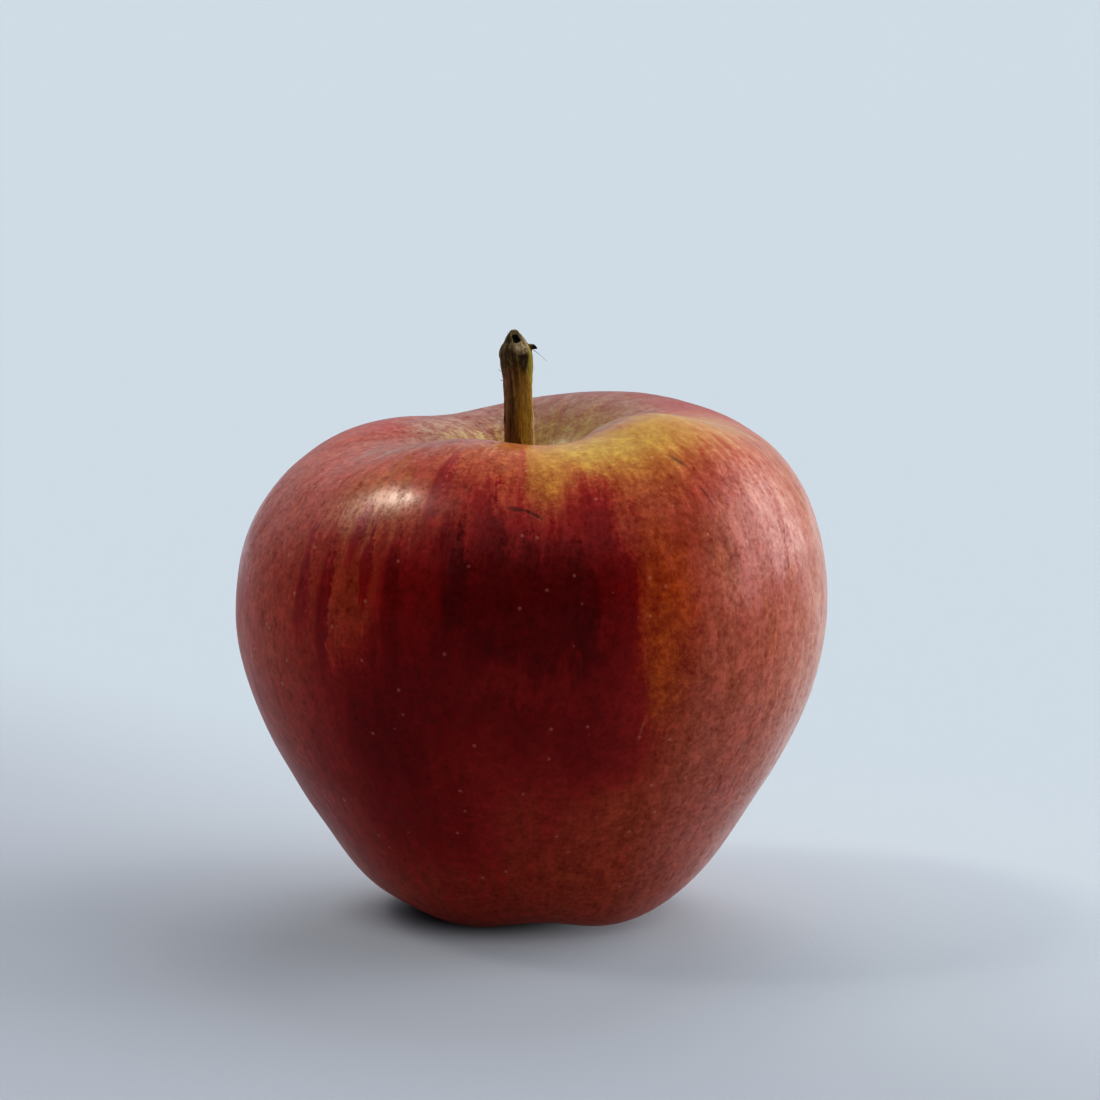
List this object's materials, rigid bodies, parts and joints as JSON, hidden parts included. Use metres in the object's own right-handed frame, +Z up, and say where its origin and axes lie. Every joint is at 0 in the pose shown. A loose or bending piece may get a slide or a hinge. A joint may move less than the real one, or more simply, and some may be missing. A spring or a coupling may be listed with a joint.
{
  "type": "red apple",
  "caption": "Ripe red apple, streaked over a yellow ground, with a woody stem in its cavity and a dried flower end; it stands on the lobes round its base.",
  "frame": {"origin": "bottom centre of the fruit: on the middle line of its stem socket, at the height of the flat spots it stands on", "axes": "+Z up towards the stem; -Y towards the front, where the yellow patch is up and to the right of the middle; +X to the right"},
  "size_m": [0.0715, 0.072, 0.0708],
  "materials": {
    "skin": "waxy satin apple skin: crimson streaks over terracotta, a yellow patch on the shoulder, pale dots",
    "stem_bark": "dry ridged bark, dark brown to olive, paler at the scar on top",
    "dry_sepal": "dry papery brown, downy grey-green at the root",
    "dry_stamen": "dry dark brown threads"
  },
  "bodies": {
    "root": {"fruit": "skin", "stem": "stem_bark", "sepal_1": "dry_sepal", "sepal_2": "dry_sepal", "sepal_3": "dry_sepal", "sepal_4": "dry_sepal", "sepal_5": "dry_sepal", "dried_stamens": "dry_stamen"}
  },
  "joints": []
}
